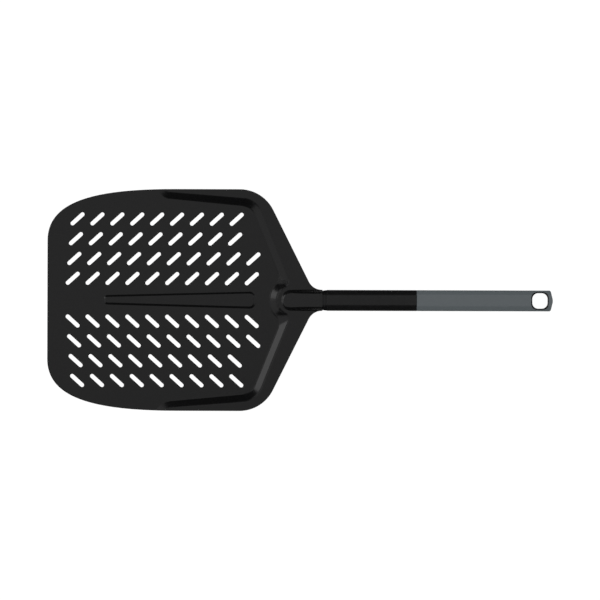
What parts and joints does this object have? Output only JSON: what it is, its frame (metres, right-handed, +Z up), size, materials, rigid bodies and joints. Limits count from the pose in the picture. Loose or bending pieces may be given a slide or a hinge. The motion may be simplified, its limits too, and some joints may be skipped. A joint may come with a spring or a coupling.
{
  "type": "pizza peel",
  "caption": "Perforated black metal pizza peel with a raised rear flange, a long two-part rounded handle and a hanging hole.",
  "frame": {"origin": "middle of the peel's box, on the plane that the peel lies on", "axes": "+X along the handle from the blade's front edge to the hanging hole, +Z up through the blade's upper face"},
  "size_m": [0.695, 0.305, 0.02],
  "materials": {
    "blade_coating": "satin black hard coating",
    "sleeve_coating": "satin black coating",
    "grip_plastic": "fine matt grain",
    "dark_plastic": "moulded satin",
    "bare_aluminium": "drawn",
    "bright_steel": "zinc plated"
  },
  "bodies": {
    "root": {"blade": "blade_coating", "neck_insert": "dark_plastic", "core_tube": "bare_aluminium", "tang_rivets": "bare_aluminium", "neck_collar": "dark_plastic", "front_sleeve": "sleeve_coating", "seam_collar": "dark_plastic", "rear_grip": "grip_plastic", "grip_rivet_nuts": "bright_steel", "grip_screws": "bright_steel", "tube_end_plug": "dark_plastic", "hang_eyelet": "dark_plastic"}
  },
  "joints": []
}
